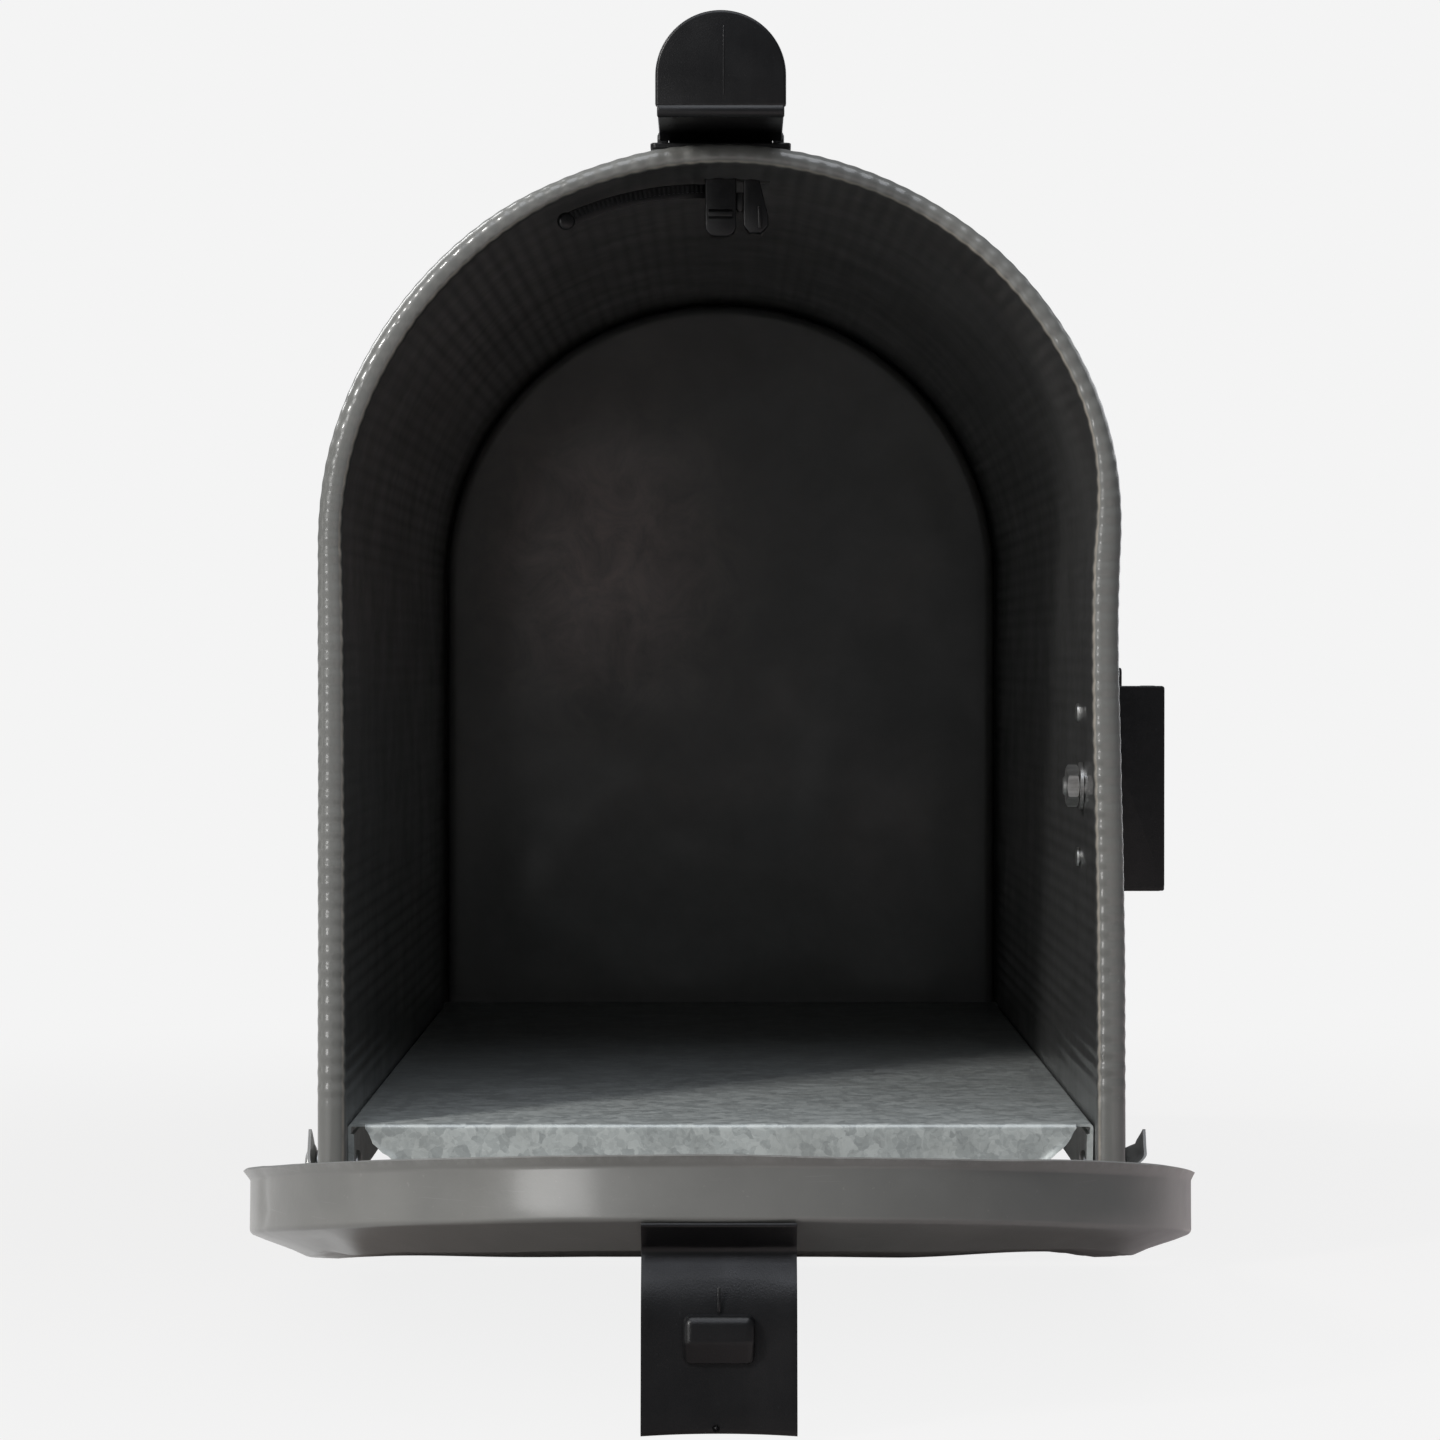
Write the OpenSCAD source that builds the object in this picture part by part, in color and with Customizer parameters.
// Rural post-mount mailbox: arched sheet-metal box, drop-down door, roof latch, side flag.
// +Z is up, +X is to the right for a person who faces the door, the door is at -Y.
// The origin lies on the underside of the floor plate, midway between the four side screw holes.
// The door is drawn dropped open, the flag is drawn down, and the latch tongue is drawn relaxed.

/* [Box] */
// Inside half width of the box, which is also the inside radius of its arched roof
wall_r = 99.5; // [90:0.5:110]
// Thickness of the sheet steel
sheet = 0.8; // [0.6:0.1:1.0]
// Height of the centre of the arch above the underside of the floor
arch_z = 154; // [130:1:180]
// Y of the front face of the rolled rim
front_y = -230; // [-260:1:-200]
// Y of the rear edge of the shell
rear_y = 236; // [200:1:260]
// Depth of the side skirts below the underside of the floor, which hold a mounting board
skirt = 17; // [16:0.5:24]
// Radius of the tube that is rolled outwards along the front edge
bead_r = 3.5; // [3:0.1:4]

/* [Door] */
// Angle the door is dropped open, where 0 is shut and 90 is level
open_deg = 82.3; // [0:0.1:90]
// Depth of the flange that wraps over the rolled rim
flange_d = 14; // [10:0.5:15]
// Height of the raised field of the door
raise_h = 5.6; // [4.6:0.1:6.4]
// Width of the bevel round the raised field
bevel_w = 13.5; // [10:0.5:18]

/* [Handle] */
// Width of the door pull
pull_w = 33; // [30:0.5:40]
// How far the pull stands out of the door's face
pull_out = 38.4; // [30:0.1:45]

/* [Latch] */
// Width of the thumb tab on the latch tongue
tab_w = 33.6; // [28:0.4:40]
// Height of the top of the thumb tab above the arch centre
tab_top = 137.2; // [132:0.2:142]

/* [Flag] */
// Length of the flag's paddle
paddle_l = 96; // [70:2:120]
// Height of the flag's paddle when the flag is down
paddle_h = 52; // [40:1:54]

/* [Mounting] */
// Distance between the two screw holes in each skirt
screw_pitch = 300; // [240:10:360]
// Radius of the screw holes in the skirts
screw_r = 2.6; // [2:0.1:3]

/* [Hidden] */
$fn = 96;

black = [0.13, 0.13, 0.13];
hole_fit = 0.05;                     // radial clearance round rivets and bolts
cut_x = 120;                         // X that clears everything, for holes through both walls

out_r = wall_r + sheet;              // outside of the wall
crest_z = arch_z + out_r;            // top of the roof
bead_line_r = wall_r + 0.5 + bead_r; // radius of the rolled tube's centre line
bead_y = front_y + bead_r;           // Y of the rolled tube's centre
rim_r = bead_line_r + bead_r;        // outside of the rolled rim
flange_r = rim_r + 2.5;              // outside of the door's flange
skirt_z = -skirt;

// Hinge axis, along X
hinge_y = front_y + 19;
hinge_z = -11.5;
hinge_at = [hinge_y, hinge_z];
pin_r = 2.5;                         // hinge rivet shank

// Latch legs, which pass through the roof
leg_y = -212;                        // front of the legs
leg_d = 6;                           // depth of the legs along Y

// Flag pivot, along X, and the rivets of its bracket, all as [Y, Z]
flag_y = -184;
flag_z = 90;
flag_at = [flag_y, flag_z];
flag_rivets = [for (z = [-20, 20]) [flag_y + 14, flag_z + z]];
flag_rivet_r = 1.6;
bolt_r = 3;                          // flag pivot bolt

// ---------------------------------------------------------------- helpers

// Draws its children on the right and again, mirrored, on the left.
module both_sides() {
    for (m = [0, 1]) mirror([m, 0, 0]) children();
}

// Sweeps a section, given as [radius, -Y], round the arch and down both straight sides to foot_z.
module arch_sweep(foot_z) {
    translate([0, 0, arch_z]) rotate([90, 0, 0]) rotate_extrude(angle = 180) children();
    both_sides() translate([0, 0, foot_z])
        linear_extrude(arch_z - foot_z) mirror([0, 1, 0]) children();
}

// A profile in [Y, Z] becomes a solid that starts at X = left.
module yz_profile(left, width) {
    translate([left, 0, 0]) rotate([90, 0, 90]) linear_extrude(width) children();
}

// The same for a profile in [forwards from hinge, up from hinge].
module door_profile(left, width) {
    translate([0, hinge_y, hinge_z]) yz_profile(left, width) mirror([1, 0, 0]) children();
}

// A shape drawn with the door shut is swung open about the hinge.
module swing() {
    translate([0, hinge_y, hinge_z]) rotate([open_deg, 0, 0])
        translate([0, -hinge_y, -hinge_z]) children();
}

// A box centred on X, with its front at y and its underside at z.
module mid_box(y, z, size) {
    translate([-size[0] / 2, y, z]) cube(size);
}

// A cylinder along X, with its axis at [Y, Z].
module x_rod(x0, x1, radius, at) {
    translate([x0, at[0], at[1]]) rotate([0, 90, 0]) cylinder(r = radius, h = x1 - x0);
}

module x_ring(x0, x1, outer, inner, at) {
    difference() {
        x_rod(x0, x1, outer, at);
        x_rod(x0 - 1, x1 + 1, inner, at);
    }
}

// Hinge holes and mounting screw holes, through both sides of the box.
module side_holes() {
    x_rod(-cut_x, cut_x, pin_r + hole_fit, hinge_at);
    for (y = [-screw_pitch / 2, screw_pitch / 2])
        x_rod(-cut_x, cut_x, screw_r, [y, skirt_z / 2]);
}

// ---------------------------------------------------------------- box

module body_shell() {
    color("dimgray") difference() {
        arch_sweep(skirt_z) difference() {
            union() {
                translate([wall_r, -rear_y]) square([sheet, rear_y - bead_y]);
                translate([bead_line_r, -bead_y]) circle(r = bead_r);
            }
            translate([bead_line_r, -bead_y]) circle(r = bead_r - sheet);
        }
        // slot in the roof for the latch legs
        translate([-4.6, leg_y - 0.3, arch_z + 80]) cube([17.8, leg_d + 0.6, 40]);
        side_holes();
        // flag pivot and bracket holes, in the right wall only
        x_rod(80, cut_x, bolt_r + hole_fit, flag_at);
        for (at = flag_rivets) x_rod(80, cut_x, flag_rivet_r + hole_fit, at);
    }
}

// The back is a shallow pan whose rim is folded over the shell's rear edge.
module rear_panel() {
    foot_z = skirt_z + 0.5;
    pan_y = rear_y - 7;     // front of the pan
    end_y = rear_y + 1;     // rear of the fold
    inner = wall_r - 0.9;
    fit = wall_r - 0.1;     // rim, just inside the wall
    outer = wall_r + 2.9;
    color("dimgray") {
        // rim and fold, as [radius, -Y]
        arch_sweep(foot_z) polygon([
            [inner, -pan_y], [fit, -pan_y], [fit, -(rear_y + 0.2)],
            [outer - 0.8, -(rear_y + 0.2)], [outer - 0.8, -(rear_y - 4)],
            [outer, -(rear_y - 4)], [outer, -end_y], [inner, -end_y]]);
        // flat of the pan
        arch_sweep(foot_z) translate([0, -(rear_y - 6.2)]) square([fit, sheet]);
        // lower edge folded back
        mid_box(pan_y, foot_z, [2 * (wall_r - 0.5), end_y - pan_y, sheet]);
    }
}

module floor_plate() {
    y0 = front_y + 8;
    y1 = rear_y - 7.2;
    half_w = wall_r - 0.05;
    hem = 2 * sheet;
    color("lightgray") difference() {
        union() {
            mid_box(y0, 0, [2 * half_w, y1 - y0, sheet]);
            // side flanges, hemmed to two layers, which carry the screws
            both_sides() translate([half_w - hem, y0, -15.5]) cube([hem, y1 - 12 - y0, 15.6]);
            // front flange with mitred ends
            translate([0, y0 + sheet, 0]) rotate([90, 0, 0]) linear_extrude(sheet)
                polygon([[-96.2, 0.1], [96.2, 0.1], [86, -10.1], [-86, -10.1]]);
        }
        side_holes();
    }
}

// ---------------------------------------------------------------- hinge

module hinge_rivets() {
    color("silver") both_sides() {
        x_rod(wall_r - 3, flange_r + 1, pin_r, hinge_at);
        // inner and outer heads
        x_rod(wall_r - 3, wall_r - 1.7, 4.2, hinge_at);
        x_rod(flange_r + 0.9, flange_r + 2.3, 4.6, hinge_at);
    }
}

// Spacers between the shell and the door's flange.
module hinge_spacers() {
    color("silver") both_sides()
        x_ring(out_r + 0.05, flange_r - sheet - 0.15, 4.4, pin_r + hole_fit, hinge_at);
}

// Washers between the door's flange and the outer rivet heads.
module hinge_washers() {
    color("silver") both_sides()
        x_ring(flange_r + 0.15, flange_r + 0.85, 5.2, pin_r + hole_fit, hinge_at);
}

// ---------------------------------------------------------------- latch on the roof

tongue_root_z = crest_z + 10;        // axis of the tongue's root
tongue_under_z = crest_z + 11.2;     // underside of the tongue
root_y = -197;                       // Y of the root's axis
root_half_w = 13.9;                  // half width of the root, between the cheeks

module latch_base() {
    color(black) {
        difference() {
            union() {
                // base plate
                mid_box(-215.5, crest_z + 6.8, [37.6, 37.5, 1.7]);
                // saddle that stands on the curved roof
                mid_box(-213, crest_z - 4, [28, 33, 11]);
                // cheeks beside the root of the tongue
                both_sides() translate([14.2, -206, crest_z + 8]) cube([2.7, 20, 4.8]);
            }
            // curve of the roof
            translate([0, -250, arch_z]) rotate([-90, 0, 0]) cylinder(r = out_r + 0.05, h = 100);
        }
        // two legs that pass through the roof, as [X, height above arch centre]
        translate([0, leg_y + leg_d, arch_z]) rotate([90, 0, 0]) linear_extrude(leg_d) {
            polygon([
                [-4.2, 103], [4.2, 103], [4.2, 86], [2.2, 84.1], [-2.2, 84.1], [-4.2, 86]]);
            polygon([
                [6.1, 103], [9.4, 103], [12.8, 89.5], [12.8, 87], [10.8, 85], [7.8, 85], [6.1, 87]]);
        }
        // catch ledge on the front of the left leg
        translate([-3.4, leg_y - 1.2, arch_z + 89]) cube([6.6, 2, 2.4]);
    }
}

// Tie behind the legs, which follows the curve of the roof to the left and slants forwards.
module latch_tie() {
    slant = 19;
    cut_angle = 26.6;       // where the straight strip ends, measured from the crest
    end_angle = 26.8;       // centre of the rounded end
    end_r = wall_r - 2.9;
    color(black) translate([0, leg_y + 8.7, arch_z]) rotate([0, 0, slant]) rotate([90, 0, 0])
        linear_extrude(1.2) {
            intersection() {
                difference() {
                    circle(r = wall_r - 0.9);
                    circle(r = wall_r - 4.7);
                }
                // wedge that the strip is cut from
                polygon([
                    [0, 0], [-200 * sin(cut_angle), 200 * cos(cut_angle)],
                    [-200, 400], [3.5, 400], [3.5, 0]]);
            }
            translate([-end_r * sin(end_angle), end_r * cos(end_angle)]) circle(r = 2.2);
        }
}

// The tongue's side profile, kept between two Y planes at one half width.
module tongue_part(half_w, y0, y1) {
    root = tongue_root_z;
    under = tongue_under_z;
    intersection() {
        // [Y, Z]: along the underside to the front, round the nose, and back along the top
        yz_profile(-half_w, 2 * half_w) polygon([
            [root_y, root - 1.2], [-206, root - 1.2], [-216.3, under], [-262, under],
            [-262.8, under - 0.6], [-265.4, under - 0.6], [-266.8, under + 0.8],
            [-266.8, under + 4.5], [-264, under + 4.5], [-262.6, under + 2.7],
            [-216.7, under + 2.7], [-205.6, root + 1.2], [root_y, root + 1.2]]);
        mid_box(y0, root - 20, [100, y1 - y0, 60]);
    }
}

module latch_tongue() {
    tab_r = tab_w / 2;
    tab_z = arch_z + tab_top - tab_r;   // centre of the tab's round top
    color(black) {
        x_rod(-root_half_w, root_half_w, 1.25, [root_y, tongue_root_z]);
        // narrow root between the cheeks, wide tongue in front of them
        tongue_part(root_half_w, -230, -190);
        tongue_part(16.3, -270, -209);
        // upright thumb tab with a round top
        translate([0, -264, 0]) rotate([90, 0, 0]) linear_extrude(2.8) intersection() {
            union() {
                translate([-tab_r, tongue_under_z]) square([tab_w, tab_z - tongue_under_z]);
                translate([0, tab_z]) circle(r = tab_r);
            }
            translate([-tab_w, tongue_under_z + 1.6]) square([2 * tab_w, 60]);
        }
    }
}

// ---------------------------------------------------------------- door, drawn shut and then swung

// Depths, measured forwards from the hinge axis
lip_fwd = 6;                         // rear edge of the flange
corner_fwd = lip_fwd + flange_d;     // outer corner between flange and bevel
face_fwd = corner_fwd + raise_h;     // outer face of the raised field

door_foot = -6;                      // lower edge of the door, measured up from the hinge axis
foot_bevel = door_foot + bevel_w;    // top of the lower bevel, measured likewise
door_foot_z = hinge_z + door_foot;
field_r = flange_r - bevel_w;        // outside of the raised field
pull_rivet_r = 2;

// Door outline with a flange radius and a field radius. Its depths run from back to corner at the
// flange and to face at the field.
module door_block(flange, field, back, corner, face, foot_z) {
    translate([0, 0, arch_z]) rotate([90, 0, 0]) rotate_extrude(angle = 180)
        translate([0, -hinge_y])
            polygon([[0, back], [flange, back], [flange, corner], [field, face], [0, face]]);
    translate([0, 0, foot_z]) linear_extrude(arch_z - foot_z) mirror([0, 1, 0])
        translate([0, -hinge_y]) polygon([
            [-flange, back], [flange, back], [flange, corner],
            [field, face], [-field, face], [-flange, corner]]);
}

// Places its children on the two rivet axes of the pull, with local +Z forwards from the hinge.
module at_pull_rivets() {
    for (x = [-8, 8]) translate([x, hinge_y, hinge_z + 236]) rotate([90, 0, 0]) children();
}

module pull_rivet_holes() {
    at_pull_rivets() cylinder(r = pull_rivet_r + hole_fit, h = 60);
}

// Pressed skin: the door block, hollowed from behind.
module door_skin() {
    intersection() {
        difference() {
            door_block(flange_r, field_r, lip_fwd, corner_fwd, face_fwd, door_foot_z);
            door_block(flange_r - sheet, field_r - 0.4, lip_fwd - 5, corner_fwd - 0.5,
                       face_fwd - sheet, door_foot_z - 10);
        }
        // the bevel also crosses the lower edge of the door
        door_profile(-150, 300) polygon([
            [-20, door_foot - 1], [-20, 400], [60, 400], [60, foot_bevel],
            [face_fwd, foot_bevel], [corner_fwd, door_foot], [0, door_foot]]);
    }
}

module lower_bevel() {
    intersection() {
        door_profile(-150, 300) polygon([
            [corner_fwd, door_foot], [face_fwd, foot_bevel],
            [face_fwd - sheet, foot_bevel], [corner_fwd - sheet, door_foot + 0.2]]);
        door_block(flange_r - 0.2, field_r, lip_fwd, corner_fwd, face_fwd, door_foot_z);
    }
}

module door_panel() {
    color("dimgray") swing() difference() {
        union() {
            door_skin();
            lower_bevel();
            // lip, turned outwards a little along the free edge of the flange
            arch_sweep(door_foot_z + 22) translate([0, lip_fwd - hinge_y]) polygon([
                [flange_r - sheet, 0], [flange_r + 0.9, 0], [flange_r + 0.9, 0.8],
                [flange_r, 2.6], [flange_r - sheet, 2.6]]);
            // hinge ears, which run back past the rolled rim
            for (left = [-flange_r, flange_r - sheet]) door_profile(left, sheet) polygon([
                [lip_fwd + 3, door_foot], [-3, door_foot + 1], [-9.2, 3.4], [-9.8, 6.2],
                [-3.5, 9.5], [lip_fwd + 0.5, 16], [lip_fwd + 3, 20]]);
        }
        for (x = [-flange_r, flange_r]) x_rod(x - 3, x + 3, pin_r + 0.06, hinge_at);
        pull_rivet_holes();
    }
}

module door_handle() {
    shelf_up = 273;                            // top of the pull's shelf
    shelf_end = face_fwd + pull_out;
    flange_up = flange_r + arch_z - hinge_z;   // top of the door's flange
    field_up = flange_up - bevel_w;            // top of the raised field
    color(black) swing() difference() {
        union() {
            // [forwards, up]: bevel foot, shelf, and the plate that is riveted to the door
            door_profile(-pull_w / 2, pull_w) polygon([
                [corner_fwd + 0.15 + 0.6 * raise_h / bevel_w, flange_up - 0.6],
                [corner_fwd + 1.2, flange_up - 0.4],
                [face_fwd - 1.6, 268.7], [face_fwd + 0.6, 268.7],
                [face_fwd + 4.8, shelf_up], [shelf_end, shelf_up],
                [shelf_end, shelf_up - 2.8], [face_fwd + 6.8, shelf_up - 2.8],
                [face_fwd + 3.6, 266.4], [face_fwd + 2.9, 262],
                [face_fwd + 2.6, 224], [face_fwd + 0.05, 224],
                [face_fwd + 0.05, field_up + 0.1], [face_fwd + 0.1, field_up + 0.2]]);
            // catch boss that the latch tongue drops over
            door_profile(-7.6, 15.2) polygon([
                [39.5, shelf_up - 0.5], [40.3, shelf_up + 3], [45.8, shelf_up + 3],
                [49.7, shelf_up + 0.6], [49.7, shelf_up - 0.5]]);
        }
        pull_rivet_holes();
    }
}

module handle_rivets() {
    color("silver") swing() at_pull_rivets() {
        translate([0, 0, face_fwd - 3]) cylinder(r = pull_rivet_r, h = 6.8);
        // outer and inner heads
        translate([0, 0, face_fwd + 2.75]) cylinder(r = 3.8, h = 1.3);
        translate([0, 0, face_fwd - 3.2]) cylinder(r = 3.1, h = 1.2);
    }
}

// Plate behind the door's skin.
module handle_backing_plate() {
    color("silver") swing() difference() {
        mid_box(hinge_y - (face_fwd - sheet - 0.05), hinge_z + 229, [28, 1, 14]);
        pull_rivet_holes();
    }
}

// ---------------------------------------------------------------- flag

bracket_x0 = out_r + 0.05;
bracket_x1 = 120;
bracket_w = bracket_x1 - bracket_x0;
cheek = 4;                           // thickness of the bracket's walls
hub_x1 = 115.3;                      // outer end of the flag's hub

module flag_bracket() {
    // boxes as [X, [Y, Z] from the pivot, size]
    boxes = [
        [bracket_x0, [-19, -28], [cheek, 38, 55.5]],          // inner cheek, against the wall
        [bracket_x1 - cheek, [-19, -28], [cheek, 38, 55.5]],  // outer cheek
        [bracket_x0, [-19, -28], [bracket_w, cheek, 55.5]],   // front wall
        [bracket_x0, [-19, -28], [bracket_w, 23, 3]],         // lower web
        [bracket_x0, [-19, 27], [8.1, 6, 5.4]],               // lug on top of the inner cheek
        [bracket_x0, [12, -15], [bracket_w, 7, 6.7]],         // stop for the flag when down
        [bracket_x0, [-15.5, 19], [bracket_w, 7.2, 6]],       // stop for the flag when up
    ];
    color(black) difference() {
        for (b = boxes) translate([b[0], flag_y + b[1][0], flag_z + b[1][1]]) cube(b[2]);
        x_rod(bracket_x0 - 5, bracket_x1 + 5, bolt_r + 0.04, flag_at);
        // recess for the bolt head
        x_rod(bracket_x1 - 2.2, bracket_x1 + 5, 6.3, flag_at);
        for (at = flag_rivets)
            x_rod(bracket_x0 - 5, bracket_x0 + 8, flag_rivet_r + hole_fit, at);
    }
}

module flag_bracket_rivets() {
    color("silver") for (at = flag_rivets) {
        x_rod(wall_r - 0.8, out_r + 4.3, flag_rivet_r, at);
        // outer and inner heads
        x_rod(out_r + 4.1, out_r + 5.1, 3.1, at);
        x_rod(wall_r - 1.1, wall_r - 0.05, 2.6, at);
    }
}

// Hub, arm and paddle; the arm points to the rear.
module flag() {
    y0 = 84;                // start of the paddle, from the pivot
    y1 = y0 + paddle_l;
    half_h = paddle_h / 2;
    arm = 8;                // half height of the arm
    cut = 5;                // length of the cut corners
    color("firebrick") difference() {
        union() {
            x_rod(104.8, hub_x1, 12.5, flag_at);
            translate([0, flag_y, flag_z]) yz_profile(108.6, 3.8) polygon([
                [0, -arm], [y0 - 8, -arm], [y0, -half_h + 6], [y0 + cut, -half_h],
                [y1 - cut, -half_h], [y1, -half_h + cut], [y1, half_h - cut], [y1 - cut, half_h],
                [y0 + cut, half_h], [y0, half_h - 6], [y0 - 8, arm], [0, arm]]);
        }
        x_rod(90, 130, bolt_r + hole_fit, flag_at);
    }
}

module flag_pivot_bolt() {
    color("silver") {
        x_rod(wall_r - 5.6, 118.2, bolt_r, flag_at);
        x_rod(118, 119.9, 5.6, flag_at);
    }
}

module flag_spring_washer() {
    color("silver") x_ring(hub_x1 + 0.1, hub_x1 + 0.6, 8, bolt_r + hole_fit, flag_at);
}

module flag_nut_washer() {
    color("silver") x_ring(wall_r - 1.25, wall_r - 0.15, 6.5, bolt_r + hole_fit, flag_at);
}

module flag_nut() {
    color("silver") difference() {
        translate([wall_r - 4.8, flag_y, flag_z]) rotate([0, 90, 0])
            cylinder(r = 5.8, h = 3.5, $fn = 6);
        x_rod(wall_r - 10, wall_r, bolt_r + 0.02, flag_at);
    }
}

body_shell();
rear_panel();
floor_plate();
hinge_rivets();
hinge_spacers();
hinge_washers();
latch_base();
latch_tie();
latch_tongue();
door_panel();
door_handle();
handle_rivets();
handle_backing_plate();
flag_bracket();
flag_bracket_rivets();
flag();
flag_pivot_bolt();
flag_spring_washer();
flag_nut_washer();
flag_nut();
